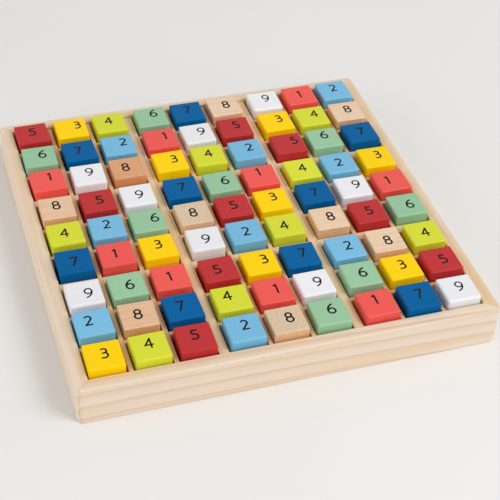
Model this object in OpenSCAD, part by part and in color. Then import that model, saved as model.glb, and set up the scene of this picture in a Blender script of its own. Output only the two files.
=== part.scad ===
// Wooden sudoku board: a mitred tray with a halved lattice of slats and loose number cubes.
// Lengths are in millimetres. X runs to the right, Y to the back and Z up.
// The origin is at the centre of the tray, on the surface that it stands on.

/* [Cubes] */
// Side of a number cube
cube_side = 20; // [12:0.5:30]
// Rounding of the edges of an evenly painted cube
cube_edge_radius = 1; // [0.2:0.1:2]
// Gap between a cube and each wall of its pocket
pocket_clearance = 1.15; // [0.6:0.05:1.5]
// Largest turn of a loose cube in its pocket, in degrees
cube_turn = 1; // [0:0.1:1]

/* [Slats] */
// Thickness of a slat between two cubes of one block
slat_thickness = 2.4; // [2:0.1:6]
// Thickness of a slat between two blocks of three by three cubes
block_slat_thickness = 5.4; // [3:0.1:10]
// Height of the slats above the pocket floors
slat_height = 13.7; // [8:0.1:15]

/* [Rails] */
// Thickness of a rail
rail_thickness = 7.7; // [6:0.05:12]
// Height of a rail
rail_height = 25; // [20:0.5:32]
// Radius of the tray's upright corners
corner_radius = 4; // [2:0.5:6]
// Rounding of a rail's long edges
rail_edge_radius = 1; // [0.4:0.1:1.5]

/* [Base panel] */
// Thickness of the base panel
panel_thickness = 4; // [3:0.5:6]
// Height of the panel's underside above the surface that the tray stands on
panel_height = 5.6; // [3:0.1:8]
// Depth of the groove in the rails that holds the panel
groove_depth = 3.5; // [2:0.1:4]

/* [Hidden] */
// Gap between the panel and the groove at its edge and over its top
groove_clearance = 0.2;
// Gap between a slat's end and the rail
slat_end_clearance = 0.2;
// Gap on each side of a slat in the notch that it crosses
lap_clearance = 0.1;
// How far a cut runs past the face that it opens
overrun = 2;
// How much of the pocket's clearance a loose cube is shifted by at most
cube_shift_share = 0.26;
// How round the edges of each set of cubes are under their paint, from the ones to the nines
edge_radius_shares = [0.9, 1, 1.2, 1.2, 0.9, 1, 0.8, 0.8, 1.5];
// Half of a slat's height is cut away where two slats cross
lap_share = 0.5;

// Cells along each side of the board, and along each side of a block
cells = 9;
block = 3;
middle_cell = (cells - 1) / 2;
middle_block = (block - 1) / 2;

// The solved puzzle, back row first, as the cubes lie in the tray
layout = [
    [5, 3, 4, 6, 7, 8, 9, 1, 2],
    [6, 7, 2, 1, 9, 5, 3, 4, 8],
    [1, 9, 8, 3, 4, 2, 5, 6, 7],
    [8, 5, 9, 7, 6, 1, 4, 2, 3],
    [4, 2, 6, 8, 5, 3, 7, 9, 1],
    [7, 1, 3, 9, 2, 4, 8, 5, 6],
    [9, 6, 1, 5, 3, 7, 2, 8, 4],
    [2, 8, 7, 4, 1, 9, 6, 3, 5],
    [3, 4, 5, 2, 8, 6, 1, 7, 9],
];

pocket_side = cube_side + 2 * pocket_clearance;
inner_side = cells * pocket_side + (cells - block) * slat_thickness + (block - 1) * block_slat_thickness;
inner_half = inner_side / 2;
outer_half = inner_half + rail_thickness;
corner_place = outer_half - corner_radius;
groove_side = inner_side + 2 * groove_depth;
panel_side = groove_side - 2 * groove_clearance;
floor_height = panel_height + panel_thickness;
slat_length = inner_side - 2 * slat_end_clearance;
lap_height = lap_share * slat_height;
mitre_angle = 45;
// Step of angle from one cube to the next, which spreads their small turns and shifts evenly
spread_angle = 137.5;
$fn = 48;

rail_colour = [0.90, 0.82, 0.70];
slat_colour = [0.85, 0.73, 0.56];
panel_colour = [0.80, 0.68, 0.50];
cube_colours = [
    [0.93, 0.37, 0.34],
    [0.49, 0.72, 0.87],
    [1.00, 0.82, 0.12],
    [0.84, 0.86, 0.28],
    [0.74, 0.23, 0.25],
    [0.61, 0.78, 0.63],
    [0.04, 0.37, 0.62],
    [0.88, 0.75, 0.60],
    [0.91, 0.91, 0.92],
];

digit_words = ["one", "two", "three", "four", "five", "six", "seven", "eight", "nine"];
band_words = ["back", "middle", "front"];
function cube_node(digit, band) = str(digit_words[digit - 1], "_cubes_", band_words[band]);
function slat_node(direction, i) = str(direction, "_slat_", i);

// Distance of a cell's centre from the middle of the board, along a row or a column
function cell_place(i) = (i - middle_cell) * (pocket_side + slat_thickness)
    + (floor(i / block) - middle_block) * (block_slat_thickness - slat_thickness);
// Slat i lies between cells i - 1 and i
function slat_place(i) = (cell_place(i - 1) + cell_place(i)) / 2;
function slat_width(i) = i % block == 0 ? block_slat_thickness : slat_thickness;
// A value from -1 to 1 for each cube, different for its turn and for its two shifts
function looseness(row, column, which) = sin(spread_angle * (row * cells + column + 1) * (which + 1));

// Rectangle with rounded corners, with one corner of its box at the origin
module rounded_rectangle(width, height, radius) {
    translate([radius, 0]) square([width - 2 * radius, height]);
    translate([0, radius]) square([width, height - 2 * radius]);
    for (x = [radius, width - radius])
        for (y = [radius, height - radius])
            translate([x, y]) circle(radius);
}

// Section of a rail: the outer face is at x = 0, the inner face at x = rail_thickness
module rail_section() {
    rounded_rectangle(rail_thickness, rail_height, rail_edge_radius);
}

// Straight stretch of the front rail, between the centres of its two rounded ends
module rail_bar() {
    translate([-corner_place, -outer_half, 0])
        rotate([90, 0, 90])
            linear_extrude(2 * corner_place) rail_section();
}

// Everything in front of the two mitre planes
module mitre_wedge() {
    far = outer_half + overrun;
    near = inner_half - overrun;
    translate([0, 0, -overrun])
        linear_extrude(rail_height + 2 * overrun)
            polygon([[-far, -far], [far, -far], [near, -near], [-near, -near]]);
}

// Rounded right end of the front rail, from its straight stretch to the mitre plane
module rail_end() {
    translate([corner_place, -corner_place, 0])
        rotate([0, 0, -2 * mitre_angle])
            rotate_extrude(angle = mitre_angle)
                intersection() {
                    translate([corner_radius, 0]) mirror([1, 0]) rail_section();
                    square([corner_radius, rail_height]);
                }
}

// Space that the rails leave for the base panel
module panel_groove() {
    translate([-groove_side / 2, -groove_side / 2, panel_height])
        cube([groove_side, groove_side, panel_thickness + groove_clearance]);
}

// The front rail; the other three are the same rail turned about the board's centre
module rail(turn) {
    color(rail_colour)
        rotate([0, 0, turn])
            difference() {
                union() {
                    intersection() {
                        rail_bar();
                        mitre_wedge();
                    }
                    rail_end();
                    mirror([1, 0, 0]) rail_end();
                }
                panel_groove();
            }
}

module front_rail() { rail(0); }
module right_rail() { rail(90); }
module back_rail() { rail(180); }
module left_rail() { rail(270); }

module base_panel() {
    color(panel_colour)
        translate([-panel_side / 2, -panel_side / 2, panel_height])
            cube([panel_side, panel_side, panel_thickness]);
}

// A slat along X, with a half-lap notch for each slat that crosses it
module slat(i, notch_floor, notch_height) {
    translate([0, -slat_place(i), floor_height])
        difference() {
            translate([-slat_length / 2, -slat_width(i) / 2, 0])
                cube([slat_length, slat_width(i), slat_height]);
            for (j = [1 : cells - 1]) {
                notch_width = slat_width(j) + 2 * lap_clearance;
                translate([slat_place(j) - notch_width / 2, -slat_width(i) / 2 - overrun, notch_floor])
                    cube([notch_width, slat_width(i) + 2 * overrun, notch_height]);
            }
        }
}

// Between two columns of cubes: notched from below, so that its top runs through
module column_slat(i) {
    color(slat_colour)
        rotate([0, 0, 90]) slat(i, -overrun, lap_height + overrun);
}

// Between two rows of cubes: notched from above
module row_slat(i) {
    color(slat_colour)
        slat(i, lap_height, slat_height - lap_height + overrun);
}

// Square bar with rounded edges, longer than a cube, along Z through the cube's centre
module rounded_bar(radius) {
    bar_length = cube_side + 2 * overrun;
    translate([-cube_side / 2, -cube_side / 2, -bar_length / 2])
        linear_extrude(bar_length) rounded_rectangle(cube_side, cube_side, radius);
}

// Cube with all its edges rounded, about its centre
module number_cube(radius) {
    intersection() {
        rounded_bar(radius);
        rotate([90, 0, 0]) rounded_bar(radius);
        rotate([0, 90, 0]) rounded_bar(radius);
    }
}

// One cube where it lies in its pocket, a little turned and shifted
module placed_cube(row, column) {
    shift = cube_shift_share * pocket_clearance;
    radius = cube_edge_radius * edge_radius_shares[layout[row][column] - 1];
    x = cell_place(column) + shift * looseness(row, column, 1);
    y = -cell_place(row) + shift * looseness(row, column, 2);
    translate([x, y, floor_height + cube_side / 2])
        rotate([0, 0, cube_turn * looseness(row, column, 0)]) number_cube(radius);
}

// The cubes of one digit in one band of three rows
module cubes(digit, band) {
    color(cube_colours[digit - 1])
        for (row = [band * block : (band + 1) * block - 1])
            for (column = [0 : cells - 1])
                if (layout[row][column] == digit) placed_cube(row, column);
}

front_rail();
right_rail();
back_rail();
left_rail();
base_panel();
for (i = [1 : cells - 1]) {
    column_slat(i);
    row_slat(i);
}
for (digit = [1 : cells])
    for (band = [0 : block - 1])
        cubes(digit, band);
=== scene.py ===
"""Looks of a wooden sudoku board: pine tray and slats, painted number cubes and their printed digits."""

import math

import bmesh
import bpy
from mathutils import Matrix, Vector


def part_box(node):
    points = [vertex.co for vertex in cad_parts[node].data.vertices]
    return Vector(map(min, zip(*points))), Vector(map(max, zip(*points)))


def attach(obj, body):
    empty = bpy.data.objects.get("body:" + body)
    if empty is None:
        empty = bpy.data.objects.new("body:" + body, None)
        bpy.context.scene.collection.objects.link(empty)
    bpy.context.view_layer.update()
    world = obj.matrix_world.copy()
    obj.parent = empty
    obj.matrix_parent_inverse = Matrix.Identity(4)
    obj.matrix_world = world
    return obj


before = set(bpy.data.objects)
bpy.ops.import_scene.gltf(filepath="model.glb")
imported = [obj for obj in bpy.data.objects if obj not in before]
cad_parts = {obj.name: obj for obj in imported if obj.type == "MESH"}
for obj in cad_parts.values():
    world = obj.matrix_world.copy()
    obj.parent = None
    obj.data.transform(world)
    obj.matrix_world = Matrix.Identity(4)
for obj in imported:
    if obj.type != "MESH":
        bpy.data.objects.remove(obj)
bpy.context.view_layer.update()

MM = 0.001

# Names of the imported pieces
DIGIT_WORDS = ("one", "two", "three", "four", "five", "six", "seven", "eight", "nine")
BAND_WORDS = ("back", "middle", "front")
SLAT_COUNT = 8
# Cells along each side of a block, which is also the count of cubes in a node
BLOCK = 3

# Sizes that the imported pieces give
CUBE_BOXES = [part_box(f"{word}_cubes_{band}") for word in DIGIT_WORDS for band in BAND_WORDS]
CUBE_TOP = CUBE_BOXES[0][1].z
CUBE_SIDE = CUBE_TOP - CUBE_BOXES[0][0].z
FIELD = max(high.x for low, high in CUBE_BOXES) - min(low.x for low, high in CUBE_BOXES)
CELL = (FIELD - CUBE_SIDE) / SLAT_COUNT
RAIL_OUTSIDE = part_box("right_rail")[1].x
RAIL_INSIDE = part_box("right_rail")[0].x

# Printed digits: their height, the share of it within which points are merged, and the steps of arcs
DIGIT_HEIGHT = 0.38 * CUBE_SIDE
MERGE_SHARE = 0.001
ARC_STEP = math.radians(7.5)
# How far the ink stands above the cube's top, and how far it reaches below it
INK_THICKNESS = 0.02 * MM
INK_SUNK = 0.02 * MM
# Largest turn of a print, and the angle from cube to cube that spreads the turns evenly
PRINT_TURN = math.radians(1.5)
SPREAD_ANGLE = 2.4


def srgb(red, green, blue):
    """A colour as a screen shows it, from 0 to 255, as the linear colour that a shader takes."""
    def linear(value):
        value /= 255
        return value / 12.92 if value <= 0.04045 else ((value + 0.055) / 1.055) ** 2.4

    return (linear(red), linear(green), linear(blue), 1.0)


def grey(level):
    """A linear grey."""
    return (level, level, level, 1.0)


# Paint and gloss of each set of cubes
PAINTS = {
    "one": (srgb(240, 86, 77), 0.35),
    "two": (srgb(118, 185, 221), 0.3),
    "three": (srgb(255, 210, 2), 0.12),
    "four": (srgb(216, 221, 52), 0.2),
    "five": (srgb(191, 47, 50), 0.2),
    "six": (srgb(151, 196, 157), 0.3),
    "seven": (srgb(0, 95, 155), 0.07),
    "nine": (srgb(236, 236, 239), 0.3),
}

# Where the digits are printed, for each band's cubes from back to front: shares of the cube's side
# to the right of its middle and to the back of it
PRINT_PLACES = {
    "one": (((0.01, 0.04), (0.17, 0.11), (0.09, 0.15)),
            ((-0.01, 0.18), (-0.11, 0.02), (-0.03, 0.02)),
            ((-0.02, 0.03), (0.10, 0.03), (-0.02, 0.13))),
    "two": (((0.01, 0.12), (0.16, 0.12), (0.09, 0.09)),
            ((-0.01, 0.01), (0.00, 0.11), (-0.01, -0.01)),
            ((0.07, 0.04), (-0.13, 0.09), (0.03, 0.09))),
    "three": (((0.22, 0.11), (0.12, 0.10), (0.14, 0.07)),
              ((0.08, 0.09), (0.05, 0.12), (0.02, 0.09)),
              ((0.14, 0.09), (0.03, 0.07), (0.03, 0.04))),
    "four": (((-0.02, 0.10), (0.11, 0.09), (0.01, 0.08)),
             ((0.01, 0.04), (-0.03, 0.02), (-0.05, -0.02)),
             ((0.02, 0.00), (-0.10, 0.11), (-0.01, 0.10))),
    "five": (((0.00, 0.08), (0.05, 0.11), (0.21, 0.10)),
             ((0.04, 0.03), (-0.01, 0.04), (0.01, 0.02)),
             ((-0.07, -0.01), (0.05, 0.00), (-0.01, 0.09))),
    "six": (((0.09, 0.16), (0.08, 0.08), (0.02, 0.14)),
            ((0.09, 0.03), (0.21, 0.06), (0.07, -0.01)),
            ((0.05, -0.02), (0.04, 0.03), (0.05, 0.07))),
    "seven": (((0.01, 0.10), (-0.04, 0.02), (0.03, 0.04)),
              ((0.00, 0.04), (-0.03, 0.00), (-0.01, -0.02)),
              ((0.08, 0.08), (-0.06, 0.05), (0.02, 0.05))),
    "eight": (((0.08, 0.08), (0.05, 0.09), (-0.05, 0.03)),
              ((-0.01, 0.10), (-0.01, 0.01), (0.05, 0.04)),
              ((0.04, -0.05), (-0.01, 0.01), (0.08, 0.05))),
    "nine": (((0.08, 0.10), (0.14, 0.06), (0.06, 0.09)),
             ((0.06, 0.00), (0.13, 0.07), (0.03, -0.03)),
             ((0.12, -0.04), (0.10, 0.01), (0.05, 0.05))),
}

# Width of the pen for each digit, in shares of the digit's height
PEN_SHARES = {
    "one": 0.15, "two": 0.142, "three": 0.142, "four": 0.135, "five": 0.155,
    "six": 0.145, "seven": 0.145, "eight": 0.15, "nine": 0.125,
}
# Pen strokes of the digits about their middle, in shares of their height: corners of straight runs,
# and arcs as centre, radius and the angles in degrees where they start and end
SIX_ARCS = [((0.03, -0.174), 0.262, 0, 360), ((0.42, -0.14), 0.655, 186, 105)]
GLYPHS = {
    "one": ([((0.02, 0.5), (0.02, -0.5)), ((-0.19, 0.315), (-0.07, 0.365), (0.03, 0.45))], []),
    "two": ([((0.185, 0.076), (-0.2, -0.43), (0.28, -0.43))], [((0, 0.21), 0.232, 155, -38)]),
    "three": ([((-0.04, 0.02), (-0.17, 0.02)), ((-0.04, -0.448), (-0.28, -0.42))],
              [((-0.04, 0.228), 0.21, 142, -90), ((-0.04, -0.195), 0.253, 90, -97)]),
    "four": ([((0.13, 0.5), (0.13, -0.5)), ((0.12, 0.42), (-0.28, -0.165), (0.33, -0.165))], []),
    "five": ([((0.26, 0.43), (-0.13, 0.43), (-0.16, 0.03)), ((0, -0.436), (-0.27, -0.4))],
             [((0, -0.18), 0.256, 128, -97)]),
    "six": ([], SIX_ARCS),
    "seven": ([((-0.29, 0.43), (0.24, 0.43), (-0.14, -0.5))], []),
    "eight": ([], [((0, 0.235), 0.22, 0, 360), ((0, -0.205), 0.252, 0, 360)]),
    "nine": ([], SIX_ARCS),
}

# Growth rings of each rail: step between rings, slope and bow along the rail, lean across it, and height
# of one ring in the middle of the outside face; then how dark the rings are and how warm the wood is
RAIL_WOOD = {
    "front_rail": ((8.6 * MM, 0.019, 0.12, 0.85, 11.9 * MM), 0.6, 0.0),
    "right_rail": ((8.0 * MM, -0.016, -0.05, 0.6, 5.0 * MM), 0.55, 0.2),
    "back_rail": ((8.5 * MM, 0.012, 0.06, 0.7, 3.0 * MM), 0.4, 0.2),
    "left_rail": ((10.0 * MM, 0.014, -0.04, 0.5, 6.0 * MM), 0.3, 0.05),
}
# Step and slope of the rings in three kinds of slat, taken in turn; then how dark they are and how they lean
SLAT_RINGS = ((5 * MM, -0.01), (6 * MM, 0.0), (7 * MM, 0.01))
SLAT_DARKNESS = 0.6
SLAT_LEAN = 1.2
# Darkness on the way from one ring's late line to the next: share of the way, and darkness there
RING_STOPS = ((0.0, 0.8), (0.06, 0.3), (0.14, 0.0), (0.35, 0.0), (0.7, 0.25), (0.86, 0.5), (0.95, 1.0))
# How far the rings waver, in shares of their step
RING_WAVER = 0.08

# Pale wood, warm wood and late rings of the rails, of the thin slats and of the slats between blocks. The
# thin slats' tones are darker and warmer than the others: painted shade of the narrow gaps between the cubes
RAIL_TONES = (srgb(229, 214, 198), srgb(225, 197, 155), srgb(212, 163, 112))
SHADED_THIN_SLAT_TONES = (srgb(240, 204, 163), srgb(231, 183, 129), srgb(194, 129, 75))
BLOCK_SLAT_TONES = (srgb(242, 218, 182), srgb(233, 197, 147), srgb(197, 139, 86))
# Share of the warm tone in pale bands and in warm ones, and the levels of the noise between them
PALE_SHARE = -0.1
WARM_SHARE = 0.9
BAND_LEVELS = (0.3, 0.7)
# How much of the rings' darkness is left in warm bands, and the levels of the noise on the way there
RING_LEFT = 0.5
FADE_LEVELS = (0.35, 0.65)
# How much more of the warm, darker tone a rail has on its inside, and how much less on its outside: painted
# shade with warm light bounced from the cubes
INNER_SHADE_WARMTH = 0.35
# Metres along the grain from one piece's figure to the next one's, so that no two match
RAIL_SHIFT = 0.7
SLAT_SHIFT = 0.3
FIRST_SLAT_SHIFT = 3.0

# Colour of the glue lines and the knot
MARK_COLOUR = srgb(150, 98, 60)
# Glue lines: patches in a metre; strength between them and in them, with the levels of the noise; distances
# from the middle of the line where it starts to fade and ends; strength outside and on top, with the depths
GLUE_PATCHES = 300.0
GLUE_STRENGTH = (0.1, 0.75, 0.35, 0.65)
GLUE_REACH = (0.1 * MM, 0.4 * MM)
GLUE_FADE = (1.0, 0.35, 1.5 * MM, 3 * MM)
# Small knot on the outside of the front rail: its middle, how it is drawn out, and its darkness, with radii
PIN_KNOT = (-20 * MM, -RAIL_OUTSIDE, 23.8 * MM)
KNOT_STRETCH = (0.6, 1, 1)
KNOT_DARKNESS = (0.36, 0.0, 0.2 * MM, 0.7 * MM)

# Plywood: waves in its figure, colours from one wave to the next, and the colour of its fibres
PLYWOOD_WAVES = 7.0
PLYWOOD_TONES = ((0.0, srgb(214, 180, 137)), (0.15, srgb(228, 199, 160)),
                 (0.9, srgb(222, 190, 148)), (1.0, srgb(211, 176, 133)))
PLYWOOD_FIBRE_COLOUR = srgb(170, 126, 84)

# Paint: patches in a metre, how far they change a cube's shade, the darkest shade, and the fibres' colour
PAINT_PATCHES = 160.0
PATCH_REACH = 0.3
DARKEST_SHADE = 0.93
PAINT_FIBRE_COLOUR = grey(0.02)
# Chance value above which a painted cube lies with the grain from front to back
TURNED_SHARE = 0.5

# Beech: colours from the palest cube to the darkest, and those of its fibres, streaks and flecks
BEECH_TONES = ((0.0, srgb(237, 209, 181)), (0.4, srgb(235, 205, 175)), (0.55, srgb(230, 194, 158)),
               (0.85, srgb(226, 186, 150)), (1.0, srgb(219, 158, 112)))
BEECH_FIBRE_COLOUR = srgb(160, 106, 68)
BEECH_STREAK_COLOUR = srgb(170, 116, 76)
BEECH_FLECK_COLOUR = srgb(140, 88, 56)
# Colour of end grain, and how strong it is
END_GRAIN_COLOUR = srgb(206, 188, 160)
END_GRAIN_SHARE = 0.6
# How much darker and redder the sides of the bare cubes are than their tops: painted shade on the sides; and
# the depths below a cube's top between which a side turns into the top
SIDE_SHADE_TINT = (1.0, 0.82, 0.65, 1.0)
SIDE_DEPTH = 1.0 * MM
TOP_DEPTH = 0.3 * MM
# Chance value above which a bare cube stands with the grain upright, and so shows end grain on top
UPRIGHT_SHARE = 0.65
# Seeds of the cubes' chance values. With the one for beech, the darkest bare cube and the upright ones lie
# where the photograph has them
PAINT_SEED = 0
BEECH_SEED = 174711

# Grain: steps of the noise in a metre along the grain and across it, and its detail and roughness
PINE_WAVES = (9, 40, 2.0, 0.5)
PINE_BANDS = (7, 130, 3.0, 0.5)
PINE_FIBRES = (30, 1500, 3.0, 0.6)
PINE_FLECKS = (140, 2600, 1.0, 0.5)
PLYWOOD_FIGURE = (5, 60, 3.0, 0.5)
PLYWOOD_FIBRES = (40, 1400, 3.0, 0.6)
PAINT_FIBRES = (90, 1600, 3.0, 0.6)
BEECH_FIBRES = (120, 2400, 2.0, 0.6)
BEECH_STREAKS = (40, 700, 2.0, 0.6)
BEECH_FLECKS = (900, 2800, 1.0, 0.5)
# Strength of the grain's marks where that noise is low and where it is high, and these two levels of it
PINE_FIBRE_MARKS = (0.12, 0.0, 0.3, 0.6)
PINE_FLECK_MARKS = (0.0, 0.16, 0.66, 0.74)
PLYWOOD_FIBRE_MARKS = (0.16, 0.0, 0.3, 0.6)
PAINT_FIBRE_MARKS = (0.025, 0.0, 0.3, 0.6)
BEECH_FIBRE_MARKS = (0.12, 0.0, 0.3, 0.62)
BEECH_STREAK_MARKS = (0.0, 0.16, 0.42, 0.66)
BEECH_FLECK_MARKS = (0.0, 0.3, 0.6, 0.72)
# Surfaces: roughness where the fibres or spots are low and where they are high, gloss, and strength of relief
PINE_SURFACE = ((0.62, 0.5), 0.25, 0.1)
PLYWOOD_SURFACE = ((0.68, 0.55), 0.25, 0.12)
BEECH_SURFACE = ((0.58, 0.44), 0.25, 0.08)
INK_SURFACE = ((0.5, 0.65), 0.2, 0.05)
PAINT_ROUGHNESS = (0.5, 0.38)
PAINT_RELIEF = 0.04
RELIEF_DEPTH = 0.1 * MM
# Ink: spots in a metre, and colours between them and in them
INK_SPOTS = 1500.0
INK_TONES = ((0.3, srgb(10, 9, 9)), (0.7, srgb(20, 19, 19)))

# Floor: half of its side, clouds in a metre, their colours, roughness and gloss
FLOOR_HALF = 4.0
FLOOR_CLOUDS = 3.0
FLOOR_TONES = ((0.3, srgb(228, 227, 225)), (0.7, srgb(232, 231, 229)))
FLOOR_ROUGHNESS = 0.9
FLOOR_GLOSS = 0.1
# Strength of the tent at the horizon and overhead, and place, size and power of each soft box
HORIZON_LEVEL = 1.0
ZENITH_LEVEL = 0.47
SOFT_BOXES = {
    "key_light": ((0.9, -0.9, 1.4), 0.9, 16.5),
    "fill_light": ((-1.6, -0.3, 0.5), 1.2, 7.5),
}
# Camera of the photograph: place in metres, azimuth, elevation and roll in degrees, lens and sensor in
# millimetres
CAMERA_PLACE = (-0.1974, -0.5923, 0.5294)
CAMERA_ANGLES = (-19.48, 40.54, 3.09)
CAMERA_LENS = 96.2
SENSOR_WIDTH = 36.0


# Shader helpers

def add(tree, kind, inputs=None, **settings):
    """Adds a shader node. An input is a number or colour, or the socket that it is linked to."""
    node = tree.nodes.new("ShaderNode" + kind)
    for name, value in settings.items():
        setattr(node, name, value)
    for name, value in (inputs or {}).items():
        if isinstance(value, bpy.types.NodeSocket):
            tree.links.new(value, node.inputs[name])
        else:
            node.inputs[name].default_value = value
    return node


def calculate(tree, operation, first, second=0.0, third=0.0):
    """A number worked out from up to three others."""
    return add(tree, "Math", {0: first, 1: second, 2: third}, operation=operation).outputs[0]


def multiply(tree, first, second):
    """A place in space stretched along each axis."""
    return add(tree, "VectorMath", {0: first, 1: second}, operation="MULTIPLY").outputs[0]


def noise(tree, place, scale=1.0, detail=2.0, roughness=0.5):
    """Smooth noise from 0 to 1 at a place in space."""
    node = add(tree, "TexNoise", {"Vector": place, "Scale": scale, "Detail": detail, "Roughness": roughness})
    return node.outputs[0]


def grain_noise(tree, grain, along, across, detail, roughness):
    """Noise drawn out along the grain, from its steps in a metre along it and across it."""
    return noise(tree, multiply(tree, grain, (along, across, across)), 1.0, detail, roughness)


def mixed(tree, share, first, second, mode="MIX"):
    """Two colours mixed by a share."""
    return add(tree, "Mix", {0: share, 6: first, 7: second}, data_type="RGBA", blend_type=mode).outputs[2]


def ramp(tree, share, *stops):
    """The colour at a share along a list of places and colours."""
    node = add(tree, "ValToRGB", {0: share})
    while len(node.color_ramp.elements) < len(stops):
        node.color_ramp.elements.new(1.0)
    for element, (place, colour) in zip(node.color_ramp.elements, stops):
        element.position = place
        element.color = colour
    return node.outputs[0]


def spread(tree, value, low, high, start=0.0, end=1.0):
    """A value between start and end stretched to run from low to high, and held there beyond."""
    return add(tree, "MapRange", {0: value, 1: start, 2: end, 3: low, 4: high}).outputs[0]


def new_material(name):
    """A material with an empty shader, and the place of each point in the shared frame."""
    material = bpy.data.materials.new(name)
    material.use_nodes = True
    tree = material.node_tree
    tree.nodes.clear()
    shader = add(tree, "BsdfPrincipled")
    add(tree, "OutputMaterial", {0: shader.outputs[0]})
    place = add(tree, "TexCoord").outputs["Object"]
    return material, tree, shader, place


def finish_surface(tree, shader, colour, figure, roughness, gloss, relief):
    """Links a colour to the shader, and a roughness and a relief that follow a figure. Sets its gloss."""
    tree.links.new(colour, shader.inputs["Base Color"])
    tree.links.new(spread(tree, figure, *roughness), shader.inputs["Roughness"])
    shader.inputs["Specular IOR Level"].default_value = gloss
    raised = add(tree, "Bump", {"Height": figure, "Strength": relief, "Distance": RELIEF_DEPTH})
    tree.links.new(raised.outputs[0], shader.inputs["Normal"])


# Wood

def along_grain(tree, place, along_y, shift):
    """The place turned so that X runs along the grain, and moved along it so that no two pieces match."""
    turn = (0, 0, -math.pi / 2 if along_y else 0.0)
    return add(tree, "Mapping", {"Vector": place, "Rotation": turn, "Location": (shift, 0, 0)}).outputs[0]


def ring_lines(tree, grain, inside, step, slope, bow, lean, start):
    """Darkness of the growth rings: each fades in from below to its late line, which ends sharply."""
    along, across, height = add(tree, "SeparateXYZ", {0: inside}).outputs
    tilt = calculate(tree, "MULTIPLY_ADD", along, bow, slope)
    level = calculate(tree, "MULTIPLY_ADD", along, tilt, height)
    level = calculate(tree, "MULTIPLY_ADD", across, lean, level)
    waves = spread(tree, grain_noise(tree, grain, *PINE_WAVES), -RING_WAVER, RING_WAVER)
    turns = calculate(tree, "MULTIPLY_ADD", calculate(tree, "SUBTRACT", level, start), 1 / step, waves)
    stops = [(share, grey(darkness)) for share, darkness in RING_STOPS]
    return ramp(tree, calculate(tree, "FRACT", turns), *stops)


def pine(name, along_y, rings, darkness, tones, warmth, is_rail, shift):
    """Sawn pine: slow growth rings, warm and pale bands, fine fibres and short resin flecks."""
    material, tree, shader, place = new_material(name)
    pale, warm, late = tones
    inside = along_grain(tree, place, along_y, 0.0)
    grain = along_grain(tree, place, along_y, shift)
    if is_rail:
        inside = from_outside(tree, place, inside)
    lines = ring_lines(tree, grain, inside, *rings)
    bands = grain_noise(tree, grain, *PINE_BANDS)
    fibres = grain_noise(tree, grain, *PINE_FIBRES)
    flecks = grain_noise(tree, grain, *PINE_FLECKS)
    share = spread(tree, bands, warmth + PALE_SHARE, warmth + WARM_SHARE, *BAND_LEVELS)
    # Towards the cubes a rail turns warmer and darker: painted shade with warm light bounced from the cubes
    if is_rail:
        share = calculate(tree, "ADD", share, painted_inner_shade(tree, inside))
    colour = mixed(tree, share, pale, warm)
    strength = spread(tree, bands, darkness, RING_LEFT * darkness, *FADE_LEVELS)
    colour = mixed(tree, calculate(tree, "MULTIPLY", lines, strength), colour, late)
    colour = mixed(tree, spread(tree, fibres, *PINE_FIBRE_MARKS), colour, late)
    colour = mixed(tree, spread(tree, flecks, *PINE_FLECK_MARKS), colour, late)
    if is_rail:
        marks = calculate(tree, "MAXIMUM", mitre_line(tree, place, inside), pin_knot(tree, place))
        colour = mixed(tree, marks, colour, MARK_COLOUR)
    finish_surface(tree, shader, colour, fibres, *PINE_SURFACE)
    return material


def from_middle(tree, place):
    """The distances from the middle of the board along X and along Y."""
    parts = add(tree, "SeparateXYZ", {0: place})
    return [calculate(tree, "ABSOLUTE", parts.outputs[k]) for k in (0, 1)]


def from_outside(tree, place, inside):
    """A place in a rail, with Y counted inwards from the tray's outside."""
    along, across, height = add(tree, "SeparateXYZ", {0: inside}).outputs
    depth = calculate(tree, "SUBTRACT", RAIL_OUTSIDE, calculate(tree, "MAXIMUM", *from_middle(tree, place)))
    return add(tree, "CombineXYZ", {0: along, 1: depth, 2: height}).outputs[0]


def painted_inner_shade(tree, inside):
    """How much warmer and darker a rail is towards the cubes than on its outside: painted shade with warm
    light bounced from the cubes.
    """
    depth = add(tree, "SeparateXYZ", {0: inside}).outputs[1]
    return spread(tree, depth, -INNER_SHADE_WARMTH, INNER_SHADE_WARMTH, 0.0, RAIL_OUTSIDE - RAIL_INSIDE)


def mitre_line(tree, place, inside):
    """Darkness of the thin glue line where two rails meet at a corner, most of all on the outside."""
    apart = calculate(tree, "ABSOLUTE", calculate(tree, "SUBTRACT", *from_middle(tree, place)))
    patchy = spread(tree, noise(tree, place, GLUE_PATCHES), *GLUE_STRENGTH)
    line = calculate(tree, "MULTIPLY", spread(tree, apart, 1.0, 0.0, *GLUE_REACH), patchy)
    depth = add(tree, "SeparateXYZ", {0: inside}).outputs[1]
    return calculate(tree, "MULTIPLY", line, spread(tree, depth, *GLUE_FADE))


def pin_knot(tree, place):
    """Darkness of the small knot, a little longer than it is wide."""
    apart = add(tree, "VectorMath", {0: place, 1: PIN_KNOT}, operation="SUBTRACT").outputs[0]
    apart = multiply(tree, apart, KNOT_STRETCH)
    reach = add(tree, "VectorMath", {0: apart}, operation="LENGTH").outputs["Value"]
    return spread(tree, reach, *KNOT_DARKNESS)


def plywood(name):
    """Rotary-cut plywood face: broad wavy figure and fine fibres."""
    material, tree, shader, place = new_material(name)
    figure = grain_noise(tree, place, *PLYWOOD_FIGURE)
    waves = calculate(tree, "FRACT", calculate(tree, "MULTIPLY", figure, PLYWOOD_WAVES))
    fibres = grain_noise(tree, place, *PLYWOOD_FIBRES)
    colour = ramp(tree, waves, *PLYWOOD_TONES)
    colour = mixed(tree, spread(tree, fibres, *PLYWOOD_FIBRE_MARKS), colour, PLYWOOD_FIBRE_COLOUR)
    finish_surface(tree, shader, colour, fibres, *PLYWOOD_SURFACE)
    return material


def dress(node, material):
    """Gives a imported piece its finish."""
    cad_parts[node].material_slots[0].material = material


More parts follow.
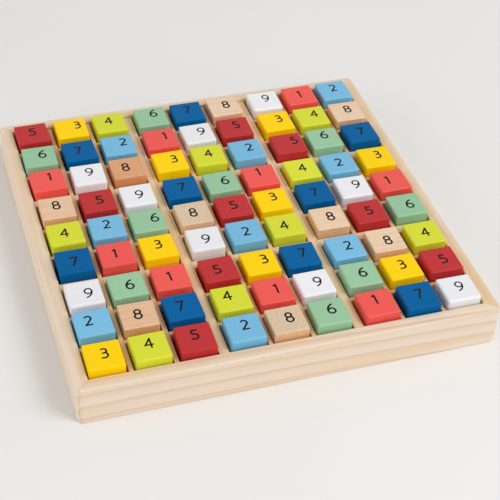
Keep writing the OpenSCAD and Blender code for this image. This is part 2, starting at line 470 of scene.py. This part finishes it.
def slat_rings(i):
    """Growth rings of a slat, as in the rails: step, slope, bow, lean and height of one ring."""
    step, slope = SLAT_RINGS[i % len(SLAT_RINGS)]
    return step, slope, 0.0, SLAT_LEAN, i * MM


def dress_rails():
    """Finishes of the four rails."""
    for i, (node, (rings, darkness, warmth)) in enumerate(RAIL_WOOD.items()):
        along_y = node in ("left_rail", "right_rail")
        dress(node, pine(node + "_pine", along_y, rings, darkness, RAIL_TONES, warmth, True, RAIL_SHIFT * i))


def dress_slats():
    """Finishes of the slats both ways. Every third one lies between blocks."""
    for i in range(1, SLAT_COUNT + 1):
        # Thin slats take darker, warmer tones: painted shade of their narrow gaps between the cubes
        tones = SHADED_THIN_SLAT_TONES if i % BLOCK else BLOCK_SLAT_TONES
        shift = FIRST_SLAT_SHIFT + SLAT_SHIFT * i
        for way, along_y in (("column", True), ("row", False)):
            node = f"{way}_slat_{i}"
            dress(node, pine(node + "_pine", along_y, slat_rings(i), SLAT_DARKNESS, tones, 0.0, False, shift))


# Cubes

def own_values(tree, place, seed):
    """Two values from 0 to 1 that each cube has for itself, from the cell that it lies in."""
    counted = add(tree, "VectorMath", {0: place, 1: (1 / CELL, 1 / CELL, 0), 2: (0.5, 0.5, seed)},
                  operation="MULTIPLY_ADD").outputs[0]
    cell = add(tree, "VectorMath", {0: counted}, operation="FLOOR").outputs[0]
    chance = add(tree, "TexWhiteNoise", {"Vector": cell})
    other = add(tree, "SeparateColor", {0: chance.outputs["Color"]})
    return chance.outputs["Value"], other.outputs[1]


def cube_grain(tree, place, turn, is_turned):
    """The place with X along the cube's grain, which runs left to right unless the cube lies turned."""
    turned = add(tree, "Mapping", {"Vector": place, "Rotation": turn}).outputs[0]
    return add(tree, "Mix", {0: is_turned, 4: place, 5: turned}, data_type="VECTOR").outputs[1]


def paint(name, colour, gloss):
    """Satin paint on wood: the grain shows faintly through it, and each cube differs a little."""
    material, tree, shader, place = new_material(name)
    own, other = own_values(tree, place, PAINT_SEED)
    is_turned = calculate(tree, "GREATER_THAN", other, TURNED_SHARE)
    grain = cube_grain(tree, place, (0, 0, math.pi / 2), is_turned)
    fibres = grain_noise(tree, grain, *PAINT_FIBRES)
    patches = spread(tree, noise(tree, place, PAINT_PATCHES), -PATCH_REACH, PATCH_REACH)
    shade = calculate(tree, "ADD", own, patches)
    tint = ramp(tree, shade, (0.0, grey(DARKEST_SHADE)), (1.0, grey(1.0)))
    body = mixed(tree, 1.0, tint, colour, "MULTIPLY")
    body = mixed(tree, spread(tree, fibres, *PAINT_FIBRE_MARKS), body, PAINT_FIBRE_COLOUR)
    finish_surface(tree, shader, body, fibres, PAINT_ROUGHNESS, gloss, PAINT_RELIEF)
    return material


def beech(name):
    """Bare beech: streaks and short dark flecks, and a tone for each cube, with painted shade that makes its
    sides darker and redder than its top.
    """
    material, tree, shader, place = new_material(name)
    own, other = own_values(tree, place, BEECH_SEED)
    is_upright = calculate(tree, "GREATER_THAN", other, UPRIGHT_SHARE)
    grain = cube_grain(tree, place, (0, math.pi / 2, 0), is_upright)
    fibres = grain_noise(tree, grain, *BEECH_FIBRES)
    streaks = grain_noise(tree, grain, *BEECH_STREAKS)
    flecks = grain_noise(tree, grain, *BEECH_FLECKS)
    height = add(tree, "SeparateXYZ", {0: place}).outputs[2]
    # Share of side below the top, which takes painted shade
    shaded_side = spread(tree, height, 1.0, 0.0, CUBE_TOP - SIDE_DEPTH, CUBE_TOP - TOP_DEPTH)
    tone = ramp(tree, own, *BEECH_TONES)
    end_grain = spread(tree, calculate(tree, "SUBTRACT", is_upright, shaded_side), 0.0, END_GRAIN_SHARE)
    tone = mixed(tree, end_grain, tone, END_GRAIN_COLOUR)
    body = mixed(tree, spread(tree, fibres, *BEECH_FIBRE_MARKS), tone, BEECH_FIBRE_COLOUR)
    body = mixed(tree, spread(tree, streaks, *BEECH_STREAK_MARKS), body, BEECH_STREAK_COLOUR)
    body = mixed(tree, spread(tree, flecks, *BEECH_FLECK_MARKS), body, BEECH_FLECK_COLOUR)
    # Painted shade: the sides darker and redder than the top
    body = mixed(tree, shaded_side, body, SIDE_SHADE_TINT, "MULTIPLY")
    finish_surface(tree, shader, body, fibres, *BEECH_SURFACE)
    return material


def dress_cubes():
    """Finishes of the nine sets of cubes."""
    for word in DIGIT_WORDS:
        finish = paint(word + "_paint", *PAINTS[word]) if word in PAINTS else beech(word + "_beech")
        for band in BAND_WORDS:
            dress(f"{word}_cubes_{band}", finish)


# Digits

def ink():
    """Printed black, a little uneven."""
    material, tree, shader, place = new_material("ink")
    spots = noise(tree, place, INK_SPOTS)
    colour = ramp(tree, spots, *INK_TONES)
    finish_surface(tree, shader, colour, spots, *INK_SURFACE)
    return material


def arc_stroke(pen, centre, radius, start, end):
    """A pen stroke round an arc."""
    shape = bmesh.new()
    angle = math.radians(start)
    out = Vector((math.cos(angle), math.sin(angle), 0))
    middle = Vector((*centre, 0))
    ends = [shape.verts.new(middle + out * (radius + side * pen / 2)) for side in (-1, 1)]
    nib = shape.edges.new(ends)
    sweep = math.radians(end - start)
    bmesh.ops.spin(shape, geom=[*ends, nib], cent=middle, axis=(0, 0, 1), angle=sweep,
                   steps=round(abs(sweep) / ARC_STEP), use_merge=end - start == 360, use_duplicate=False)
    return shape


def line_stroke(pen, corners):
    """A pen stroke along straight runs, mitred where they turn."""
    shape = bmesh.new()
    points = [Vector((*corner, 0)) for corner in corners]
    runs = [(after - before).normalized() for before, after in zip(points, points[1:])]
    nib = None
    for i, point in enumerate(points):
        before = runs[max(i - 1, 0)]
        after = runs[min(i, len(runs) - 1)]
        along = (before + after).normalized()
        side = Vector((-along.y, along.x, 0)) * (pen / 2 / along.dot(after))
        if nib is None:
            nib = shape.edges.new([shape.verts.new(point + side), shape.verts.new(point - side)])
            continue
        made = bmesh.ops.extrude_edge_only(shape, edges=[nib])["geom"]
        nib = next(item for item in made if isinstance(item, bmesh.types.BMEdge))
        left, right = sorted(nib.verts, key=lambda vert: (vert.co - points[i - 1]).dot(side), reverse=True)
        left.co = point + side
        right.co = point - side
    return shape


def stroke_piece(shape, name):
    """A pen stroke with the thickness of the ink, closed all round."""
    raised = bmesh.ops.extrude_face_region(shape, geom=shape.faces)["geom"]
    upper = [item for item in raised if isinstance(item, bmesh.types.BMVert)]
    bmesh.ops.translate(shape, verts=upper, vec=(0, 0, (INK_THICKNESS + INK_SUNK) / DIGIT_HEIGHT))
    bmesh.ops.recalc_face_normals(shape, faces=shape.faces)
    return new_piece(shape, name)


def new_piece(shape, name):
    """An object made from a bmesh, which is freed."""
    mesh = bpy.data.meshes.new(name)
    shape.to_mesh(mesh)
    shape.free()
    piece = bpy.data.objects.new(name, mesh)
    bpy.context.scene.collection.objects.link(piece)
    return piece


def digit_mesh(word):
    """One closed mesh of a digit: its strokes joined where they cross. A nine is a six upside down."""
    lines, arcs = GLYPHS[word]
    pen = PEN_SHARES[word]
    shapes = [line_stroke(pen, corners) for corners in lines] + [arc_stroke(pen, *arc) for arc in arcs]
    first, *others = [stroke_piece(shape, word + "_stroke") for shape in shapes]
    for other in others:
        union = first.modifiers.new("union", "BOOLEAN")
        union.operation = "UNION"
        union.solver = "EXACT"
        union.object = other
    bpy.context.view_layer.update()
    mesh = bpy.data.meshes.new_from_object(first.evaluated_get(bpy.context.evaluated_depsgraph_get()))
    for piece in [first, *others]:
        bpy.data.objects.remove(piece)
    shape = bmesh.new()
    shape.from_mesh(mesh)
    bmesh.ops.remove_doubles(shape, verts=shape.verts, dist=MERGE_SHARE)
    if word == "nine":
        bmesh.ops.rotate(shape, verts=shape.verts, matrix=Matrix.Rotation(math.pi, 3, "Z"))
    shape.to_mesh(mesh)
    shape.free()
    return mesh


def cube_middles(node):
    """The middle of each cube in a node, seen from above, from back to front."""
    cells = {}
    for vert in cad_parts[node].data.vertices:
        cells.setdefault((round(vert.co.x / CELL), round(vert.co.y / CELL)), []).append(vert.co)
    middles = []
    for cell in sorted(cells, key=lambda cell: -cell[1]):
        reaches = [[point[k] for point in cells[cell]] for k in (0, 1)]
        middles.append([(min(reach) + max(reach)) / 2 for reach in reaches])
    return middles


def print_turn(word, band, i):
    """The small turn of a cube's print, which differs from one cube to the next."""
    node = BLOCK * DIGIT_WORDS.index(word) + BAND_WORDS.index(band)
    return PRINT_TURN * math.sin(SPREAD_ANGLE * (BLOCK * node + i))


def print_digits(word, band, mesh, material):
    """The printed digits of one node's cubes, as one piece on the cubes' tops."""
    places = PRINT_PLACES[word][BAND_WORDS.index(band)]
    shape = bmesh.new()
    for i, (cube, place) in enumerate(zip(cube_middles(f"{word}_cubes_{band}"), places)):
        printed = len(shape.verts)
        shape.from_mesh(mesh)
        x, y = (cube[k] + CUBE_SIDE * place[k] for k in (0, 1))
        spot = Matrix.Translation((x, y, CUBE_TOP - INK_SUNK))
        spot = spot @ Matrix.Rotation(print_turn(word, band, i), 4, "Z") @ Matrix.Scale(DIGIT_HEIGHT, 4)
        bmesh.ops.transform(shape, verts=shape.verts[printed:], matrix=spot)
    piece = new_piece(shape, f"{word}_digits_{band}")
    piece.data.materials.append(material)
    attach(piece, f"{word}_cubes_{band}")


def print_all_digits():
    """The digits of all the cubes."""
    material = ink()
    for word in DIGIT_WORDS:
        mesh = digit_mesh(word)
        for band in BAND_WORDS:
            print_digits(word, band, mesh, material)


# Studio

def lay_floor():
    """A wide pale floor under the board."""
    material, tree, shader, place = new_material("studio_floor")
    clouds = noise(tree, place, FLOOR_CLOUDS)
    colour = ramp(tree, clouds, *FLOOR_TONES)
    tree.links.new(colour, shader.inputs["Base Color"])
    shader.inputs["Roughness"].default_value = FLOOR_ROUGHNESS
    shader.inputs["Specular IOR Level"].default_value = FLOOR_GLOSS
    shape = bmesh.new()
    bmesh.ops.create_grid(shape, x_segments=1, y_segments=1, size=FLOOR_HALF)
    floor = new_piece(shape, "floor")
    floor.data.materials.append(material)


def light_surround():
    """A pale tent all round, brighter towards the horizon than overhead."""
    world = bpy.data.worlds.new("studio_tent")
    world.use_nodes = True
    tree = world.node_tree
    parts = add(tree, "SeparateXYZ", {0: add(tree, "TexCoord").outputs["Generated"]})
    level = spread(tree, parts.outputs[2], HORIZON_LEVEL, ZENITH_LEVEL)
    tree.links.new(level, tree.nodes["Background"].inputs["Strength"])
    tree.nodes["Background"].inputs["Color"].default_value = (1, 1, 1, 1)
    bpy.context.scene.world = world


def hang_light(name, place, size, power):
    """A square soft box that faces the board."""
    lamp = bpy.data.lights.new(name, "AREA")
    lamp.size = size
    lamp.energy = power
    light = bpy.data.objects.new(name, lamp)
    light.location = place
    light.rotation_euler = (-Vector(place)).to_track_quat("-Z", "Y").to_euler()
    bpy.context.scene.collection.objects.link(light)


def place_camera():
    """The camera where the photograph was taken from, with its slight roll."""
    azimuth, elevation, roll = (math.radians(angle) for angle in CAMERA_ANGLES)
    back = Vector((math.sin(azimuth) * math.cos(elevation), -math.cos(azimuth) * math.cos(elevation),
                   math.sin(elevation)))
    level = (-back).cross(Vector((0, 0, 1))).normalized()
    rise = level.cross(-back)
    right = level * math.cos(roll) + rise * math.sin(roll)
    up = rise * math.cos(roll) - level * math.sin(roll)
    lens = bpy.data.cameras.new("camera")
    lens.sensor_width = SENSOR_WIDTH
    lens.lens = CAMERA_LENS
    camera = bpy.data.objects.new("camera", lens)
    turn = Matrix((right, up, back)).transposed().to_4x4()
    camera.matrix_world = Matrix.Translation(CAMERA_PLACE) @ turn
    bpy.context.scene.collection.objects.link(camera)
    bpy.context.scene.camera = camera


dress_rails()
dress_slats()
dress("base_panel", plywood("base_plywood"))
dress_cubes()
print_all_digits()
lay_floor()
light_surround()
for name, soft_box in SOFT_BOXES.items():
    hang_light(name, *soft_box)
place_camera()
bpy.context.scene.view_settings.view_transform = "Standard"
